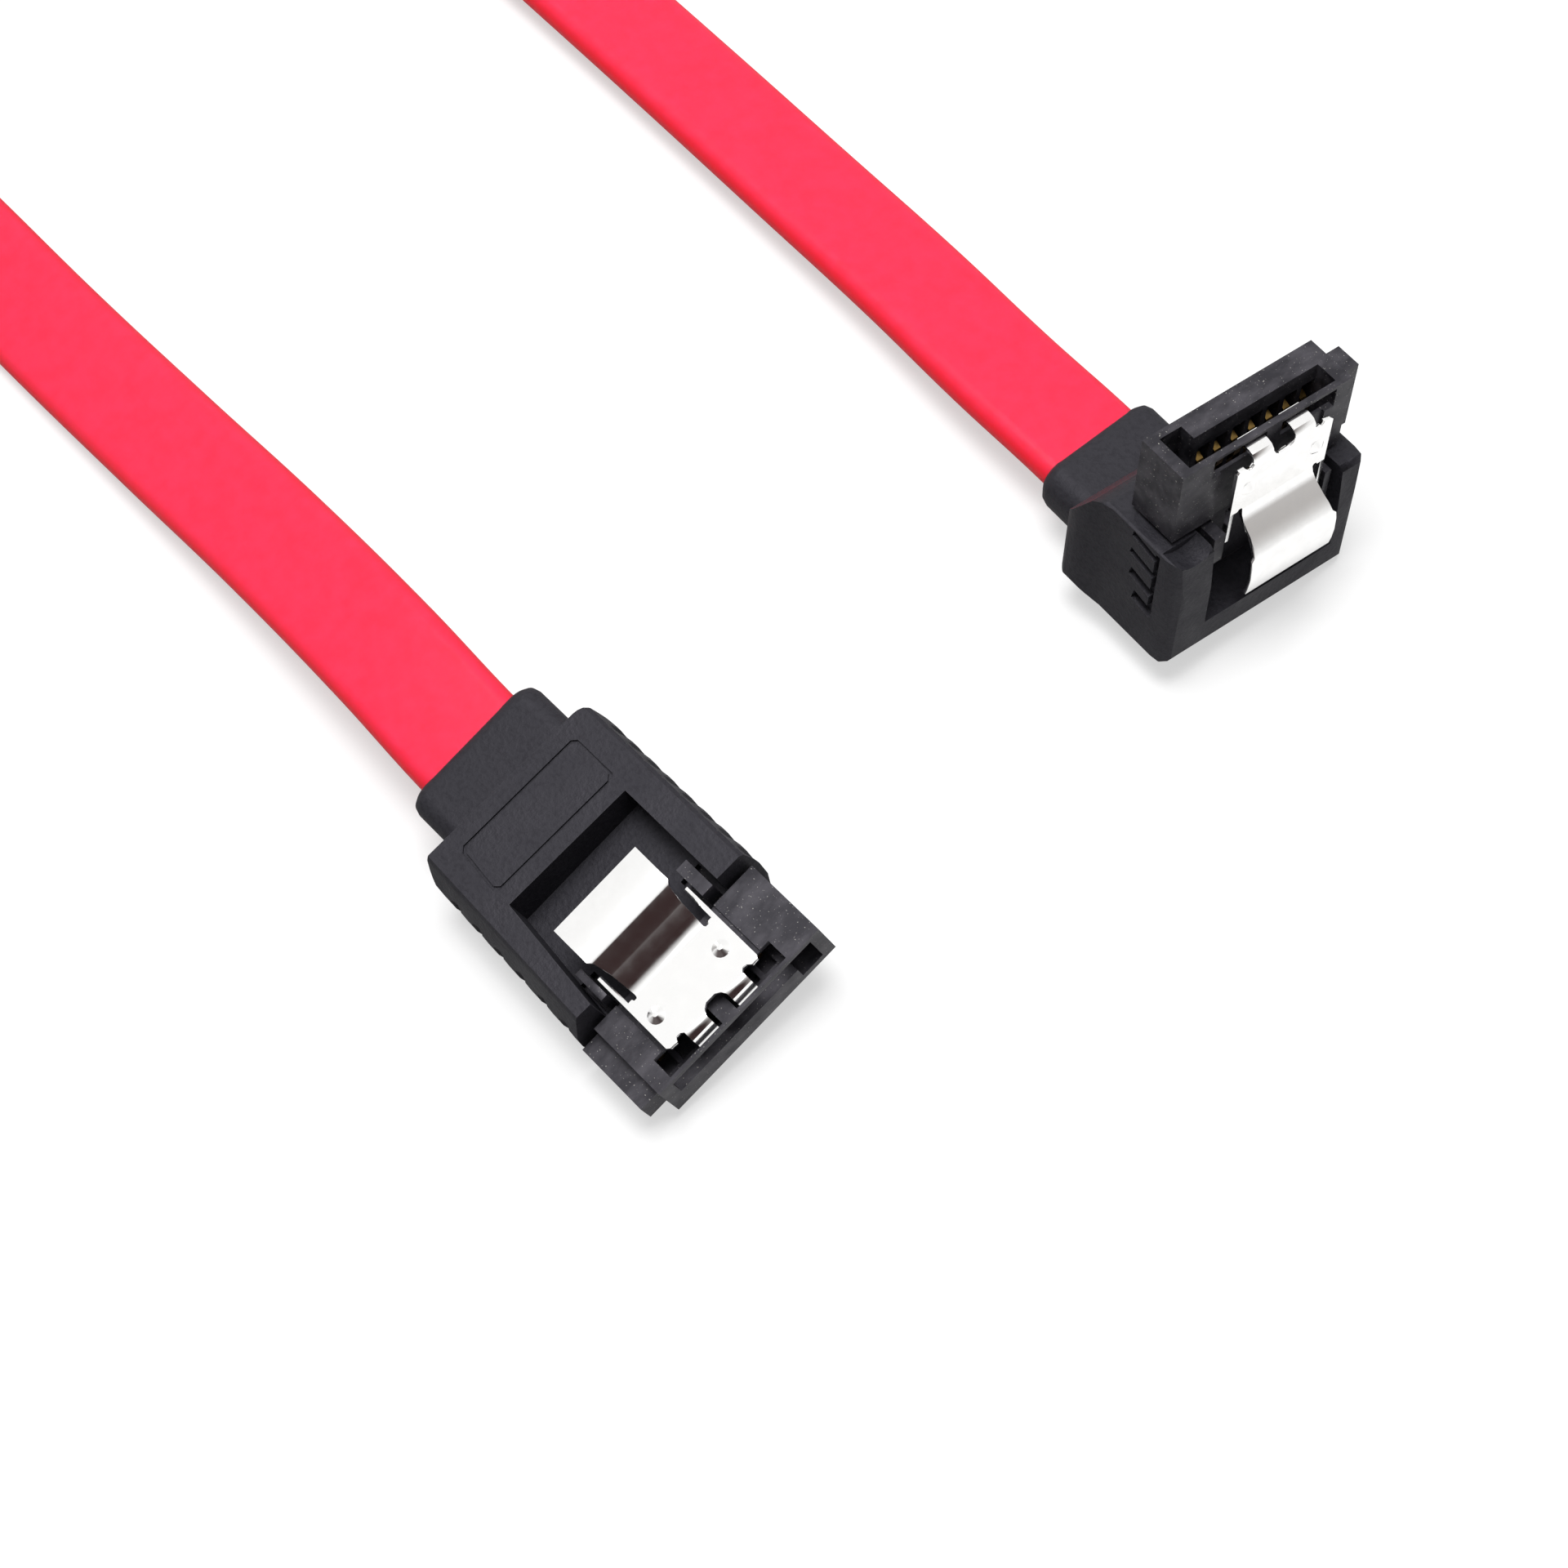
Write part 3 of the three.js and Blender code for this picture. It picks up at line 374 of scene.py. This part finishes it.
join(tree, add_node(tree, "ShaderNodeNewGeometry").outputs["Normal"], facing.inputs["Vector"])
lit_top = blended(tree, spread(tree, waves, 0, 1), (0.95, 0.022, 0.074), (0.97, 0.03, 0.095))
# Painted shade: the base colour turns deeper red as the surface faces less far up, on the half round
# edges and on the sides where the cable stands on edge
painted_side_shade = spread(tree, facing.outputs["Z"], 1, 0, 0.5, 0.955)
join(tree, blended(tree, painted_side_shade, lit_top, (0.94, 0.01, 0.03)), shader.inputs["Base Color"])
join(tree, spread(tree, speckle, 0.4, 0.52), shader.inputs["Roughness"])
bumped(tree, shader, [(waves, 0.2, 0.05), (lines, 0.12, 0.02), (speckle, 0.1, 0.01)])
print("red skin:", len(tree.nodes), "nodes")

# %% [markdown]
# The two overmoulds are black PVC with the fine, even texture of a spark-eroded mould. The
# housings inside them are a harder, glossier black plastic with rubbed marks and a few pale
# specks of dust. The edges are painted paler, partly as wear and partly as a painted highlight,
# and an attribute on the copied solids below says where those edges are.

# %% Black plastics
black_soft, tree, shader = finish("black_overmould", (0.014, 0.0135, 0.017), 0.6)
shader.inputs["Specular IOR Level"].default_value = 0.3
shader.inputs["Specular Tint"].default_value = (0.93, 0.9, 1.0, 1)
place = object_place(tree)
grain = noise(tree, place, 0.1, 2)
pits = noise(tree, place, 0.3, 3)
rub = noise(tree, place, 2.6, 4)
# The rounded edges are painted paler, partly as wear and partly as a painted highlight
edge_wear_and_highlight = times(tree, wear_and_edge_highlight(tree), spread(tree, pits, 0.1, 0.9))
join(tree, spread(tree, rub, 0.5, 0.68), shader.inputs["Roughness"])
skin = blended(tree, spread(tree, rub, 0, 1), (0.013, 0.0125, 0.016), (0.021, 0.0205, 0.025))
skin = blended(tree, spread(tree, pits, 0, 0.5, 0.48, 0.62), skin, (0.006, 0.0055, 0.008))
join(tree, blended(tree, edge_wear_and_highlight, skin, (0.07, 0.068, 0.074)), shader.inputs["Base Color"])
bumped(tree, shader, [(pits, 0.8, 0.05), (grain, 0.35, 0.02)])

black_hard, tree, shader = finish("black_housing", (0.02, 0.019, 0.023), 0.5)
shader.inputs["Specular IOR Level"].default_value = 0.35
shader.inputs["Specular Tint"].default_value = (0.94, 0.91, 1.0, 1)
place = object_place(tree)
grain = noise(tree, place, 0.09, 2)
scuff = noise(tree, object_place(tree, (1, 0.45, 1)), 1.1, 5, 0.6)
rub = noise(tree, place, 1.6, 4)
dust = spread(tree, noise(tree, place, 0.09, 0), 0, 1, 0.79, 0.81)
# The rounded edges are painted paler, partly as wear and partly as a painted highlight
edge_wear_and_highlight = times(tree, wear_and_edge_highlight(tree), spread(tree, scuff, 0.1, 1))
join(tree, spread(tree, rub, 0.38, 0.55), shader.inputs["Roughness"])
skin = blended(tree, spread(tree, scuff, 0, 1, 0.4, 0.68), (0.01, 0.0095, 0.0125), (0.055, 0.052, 0.06))
skin = blended(tree, edge_wear_and_highlight, skin, (0.15, 0.145, 0.155))
join(tree, blended(tree, dust, skin, (0.3, 0.29, 0.27)), shader.inputs["Base Color"])
bumped(tree, shader, [(scuff, 0.25, 0.03), (grain, 0.12, 0.008)])
print("black plastics ready")

# %% [markdown]
# The latches are stamped from bright plated steel. Rolling leaves faint lines across the sheet,
# and the roughness varies a little from place to place. The contacts are gold flashed.

# %% Metals


def metal(name, color, low, high, line_stretch, line_mm=0.05):
    material, tree, shader = finish(name, color, low, 1.0)
    lines = noise(tree, object_place(tree, line_stretch), line_mm, 3)
    mottle = noise(tree, object_place(tree), 0.7, 3)
    join(tree, spread(tree, mottle, low, high), shader.inputs["Roughness"])
    darker = tuple(c * 0.95 for c in color)
    join(tree, blended(tree, spread(tree, mottle, 0, 1), color, darker), shader.inputs["Base Color"])
    bumped(tree, shader, [(lines, 0.1, 0.006)])
    return material


latch_steel = metal("latch_steel", (0.96, 0.955, 0.945), 0.12, 0.18, (0.08, 1, 1))
contact_gold = metal("contact_gold", (0.3, 0.19, 0.06), 0.25, 0.4, (0.1, 1, 1))
tinned = metal("tinned_copper", (0.68, 0.66, 0.62), 0.25, 0.4, (0.1, 1, 1))
foil = metal("shield_foil", (0.82, 0.83, 0.85), 0.2, 0.35, (1, 1, 1), 0.3)


def cream(name, color):
    material, tree, shader = finish(name, color, 0.5)
    place = object_place(tree)
    mottle = noise(tree, place, 0.8, 3)
    join(tree, spread(tree, mottle, 0.42, 0.6), shader.inputs["Roughness"])
    bumped(tree, shader, [(noise(tree, place, 0.15, 2), 0.2, 0.02)])
    return material


mould_plastic = cream("inner_mould_plastic", (0.68, 0.65, 0.56))
wire_plastic = cream("wire_insulation", (0.82, 0.8, 0.74))
print("metals and inner plastics ready")

# %% [markdown]
# A moulded part has no knife edges. The imported solids do, so each visible one is copied, its
# triangles are merged back into flat faces, and a narrow bevel rounds every real edge. Beside a
# narrow face the bevel is narrower, so that small steps keep their form. Weighted normals keep
# the flats flat. The bevelled faces are marked in an attribute, which the black plastics paint
# paler, partly as wear and partly as a painted highlight. The copy then stands for the solid.

# %% Rounded copies
MERGE_DISTANCE = 0.002 * MM
FLAT_WITHIN = 0.6
EDGE_SLOT = 1
LEAST_ROUNDING = 0.08


def half_width(face):
    """About half the width of a narrow face."""
    return face.calc_area() / sum(edge.calc_length() for edge in face.edges)


def rounding(edge, width):
    """How much of the full bevel an edge takes: less of it where a face beside it is narrow."""
    room = min(half_width(face) for face in edge.link_faces)
    return min(1, max(LEAST_ROUNDING, room / (2 * width)))


def rounded_copy(node, name, width_mm, material, body, segments=2, angle=34):
    mesh = nodes[node].data.copy()
    copy = bpy.data.objects.new(name + "_draft", mesh)
    bpy.context.scene.collection.objects.link(copy)
    work = bmesh.new()
    work.from_mesh(mesh)
    bmesh.ops.remove_doubles(work, verts=work.verts, dist=MERGE_DISTANCE)
    flat = math.radians(FLAT_WITHIN)
    bmesh.ops.dissolve_limit(work, angle_limit=flat, verts=work.verts, edges=work.edges)
    for face in work.faces:
        face.smooth = True
    weights = work.edges.layers.float.new("bevel_weight_edge")
    for edge in work.edges:
        if len(edge.link_faces) == 2 and edge.calc_face_angle(0) > math.radians(angle):
            edge[weights] = rounding(edge, width_mm * MM)
    work.to_mesh(mesh)
    work.free()
    mesh.materials.clear()
    mesh.materials.append(material)
    mesh.materials.append(material)
    bevel = copy.modifiers.new("edges", "BEVEL")
    bevel.material = EDGE_SLOT
    bevel.width = width_mm * MM
    bevel.segments = segments
    bevel.limit_method = "WEIGHT"
    bevel.use_clamp_overlap = True
    normals = copy.modifiers.new("normals", "WEIGHTED_NORMAL")
    normals.keep_sharp = False
    piece = baked(name, copy)
    # This marks the bevelled faces, which the black plastics paint paler: partly wear, partly a painted
    # highlight
    edge_wear_and_highlight = piece.data.attributes.new("wear_and_edge_highlight", "FLOAT", "FACE")
    edge_wear_and_highlight.data.foreach_set("value", [float(face.material_index) for face in piece.data.polygons])
    for face in piece.data.polygons:
        face.material_index = 0
    piece.data.materials.pop(index=EDGE_SLOT)
    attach(piece, body)
    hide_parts(node)
    return piece


BODY_ROUNDING = 0.3
SHELL_ROUNDING = 0.05
LATCH_ROUNDING = 0.06
LATCH_ANGLE = 31
for end in ("straight", "angled"):
    copies = [
        rounded_copy(
            f"{end}_overmould", f"{end}_body", BODY_ROUNDING, black_soft,
            "cable_set", segments=3,
        ),
        rounded_copy(
            f"{end}_housing", f"{end}_shell", SHELL_ROUNDING, black_hard, "cable_set",
        ),
        rounded_copy(
            f"{end}_latch", f"{end}_spring_latch", LATCH_ROUNDING, latch_steel,
            f"{end}_latch", angle=LATCH_ANGLE,
        ),
    ]
    print(end, "faces:", [len(copy.data.polygons) for copy in copies])

# %% [markdown]
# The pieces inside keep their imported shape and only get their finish. The inner mould of the
# angled end stands out a little behind its body, so it gets the same black finish as that body.

# %% Finishes of the inner pieces


def dress(node, material):
    mesh = nodes[node].data
    mesh.materials.clear()
    mesh.materials.append(material)


INNER_FINISHES = {
    "contact": contact_gold, "inner_mould": mould_plastic, "foil": foil,
    "insulation": wire_plastic, "wire": tinned,
}
for part in frame["record"]["subparts"]:
    if part["material_slot"] in INNER_FINISHES:
        dress(part["node"], INNER_FINISHES[part["material_slot"]])
dress("angled_inner_mould", black_soft)
print("inner pieces dressed")

# %% [markdown]
# The table is a plain sheet that the camera sees as white. One soft lamp hangs half a metre above
# it, so the shadows are short and soft. The rest of the light comes from the room. In reflections
# the table glows white with its own light only in front of the connectors, a painted reflection
# for the bright metal, which shows what is near it.

# %% Table
TABLE_HALF = 1.5
TABLE_GREY = 0.44
FLOOR_LIFT = 0.56
BELOW_PART = 0.02 * MM
FRONT_BEGINS = (6 * MM, 15 * MM)


def seen_as_white(tree):
    """One for the rays that look at the backdrop itself, nothing for the rays that light things."""
    path = add_node(tree, "ShaderNodeLightPath")
    total = path.outputs["Is Camera Ray"]
    for name in ("Is Glossy Ray", "Is Transmission Ray"):
        either = add_node(tree, "ShaderNodeMath", operation="MAXIMUM")
        join(tree, total, either.inputs[0])
        join(tree, path.outputs[name], either.inputs[1])
        total = either.outputs[0]
    return total


floor_mesh = bpy.data.meshes.new("table")
work = bmesh.new()
bmesh.ops.create_grid(work, x_segments=1, y_segments=1, size=TABLE_HALF)
bmesh.ops.translate(work, verts=work.verts, vec=(0, 0, -BELOW_PART))
work.to_mesh(floor_mesh)
work.free()
floor = bpy.data.objects.new("table", floor_mesh)
bpy.context.scene.collection.objects.link(floor)
table_white, tree, shader = finish("table_white", (TABLE_GREY,) * 3, 0.8)
shader.inputs["Emission Color"].default_value = (1, 1, 1, 1)
shader.inputs["Specular IOR Level"].default_value = 0
rays = add_node(tree, "ShaderNodeLightPath")
mirrored = add_node(tree, "ShaderNodeSeparateXYZ")
join(tree, object_place(tree), mirrored.inputs["Vector"])
# Painted reflection: for glossy rays the table glows with its own light only in front of the connectors
in_front = spread(tree, mirrored.outputs["X"], 0, 1, *FRONT_BEGINS)
seen = add_node(tree, "ShaderNodeMath", operation="MAXIMUM")
join(tree, rays.outputs["Is Camera Ray"], seen.inputs[0])
join(tree, times(tree, rays.outputs["Is Glossy Ray"], in_front), seen.inputs[1])
lift = add_node(tree, "ShaderNodeMath", {1: FLOOR_LIFT}, operation="MULTIPLY")
join(tree, seen.outputs[0], lift.inputs[0])
join(tree, lift.outputs[0], shader.inputs["Emission Strength"])
floor_mesh.materials.append(table_white)
print("table:", [round(v, 2) for v in floor.dimensions], "m")

# %% [markdown]
# The room is brighter above than at the sides, and for the camera it is plain white. Bright metal
# shows what stands around it, so in reflections the white room has a dark, a grey and a dim side.

# %% Room
world = bpy.data.worlds.new("room")
bpy.context.scene.world = world
world.use_nodes = True
tree = world.node_tree
tree.nodes.clear()
ROOM_LOW = 0.12
ROOM_HIGH = 0.4
# Sides of the room as metal mirrors them: direction, full within and gone beyond degrees, colour
ROOM_SIDES = [
    (Vector((0.25, -0.85, 0.3)), 20, 55, (0.12, 0.1, 0.1)),
    (Vector((0.78, 0.25, 0.5)), 14, 34, (0.42, 0.4, 0.39)),
    (Vector((0.78, -0.33, 0.53)), 20, 40, (0.037, 0.021, 0.021)),
]
direction = add_node(tree, "ShaderNodeTexCoord").outputs["Generated"]
height = add_node(tree, "ShaderNodeSeparateXYZ")
join(tree, direction, height.inputs["Vector"])
soft_room = add_node(tree, "ShaderNodeMapRange", {"To Min": ROOM_LOW, "To Max": ROOM_HIGH})
join(tree, height.outputs["Z"], soft_room.inputs["Value"])
level = add_node(tree, "ShaderNodeMix", {"B": 1.0}, data_type="FLOAT")
join(tree, seen_as_white(tree), level.inputs["Factor"])
join(tree, soft_room.outputs["Result"], level.inputs["A"])
mirrored = add_node(tree, "ShaderNodeLightPath").outputs["Is Glossy Ray"]
tint = (1.0, 1.0, 1.0)
for side, inner, outer, color in ROOM_SIDES:
    toward = add_node(tree, "ShaderNodeVectorMath", {1: side.normalized()}, operation="DOT_PRODUCT")
    join(tree, direction, toward.inputs[0])
    gone, full = math.cos(math.radians(outer)), math.cos(math.radians(inner))
    near = spread(tree, toward.outputs["Value"], 0, 1, gone, full)
    tint = blended(tree, times(tree, near, mirrored), tint, color)
background = add_node(tree, "ShaderNodeBackground")
join(tree, tint, background.inputs["Color"])
join(tree, level.outputs["Result"], background.inputs["Strength"])
output = add_node(tree, "ShaderNodeOutputWorld")
join(tree, background.outputs["Background"], output.inputs["Surface"])
print("room:", len(tree.nodes), "nodes")

# %% Lamp


def soft_lamp(name, place, size, watts):
    data = bpy.data.lights.new(name, "AREA")
    data.shape = "SQUARE"
    data.size = size
    data.energy = watts
    lamp = bpy.data.objects.new(name, data)
    bpy.context.scene.collection.objects.link(lamp)
    aim = Vector((0, 0, 0)) - Vector(place)
    lamp.matrix_world = Matrix.Translation(place) @ aim.to_track_quat("-Z", "Y").to_matrix().to_4x4()
    return lamp


LAMP_PLACE = (-0.02, 0.02, 0.5)
LAMP_SIZE = 0.26
LAMP_WATTS = 2.5
soft_lamp("key", LAMP_PLACE, LAMP_SIZE, LAMP_WATTS)
bpy.context.scene.view_settings.view_transform = "Standard"
print("lit and ready")
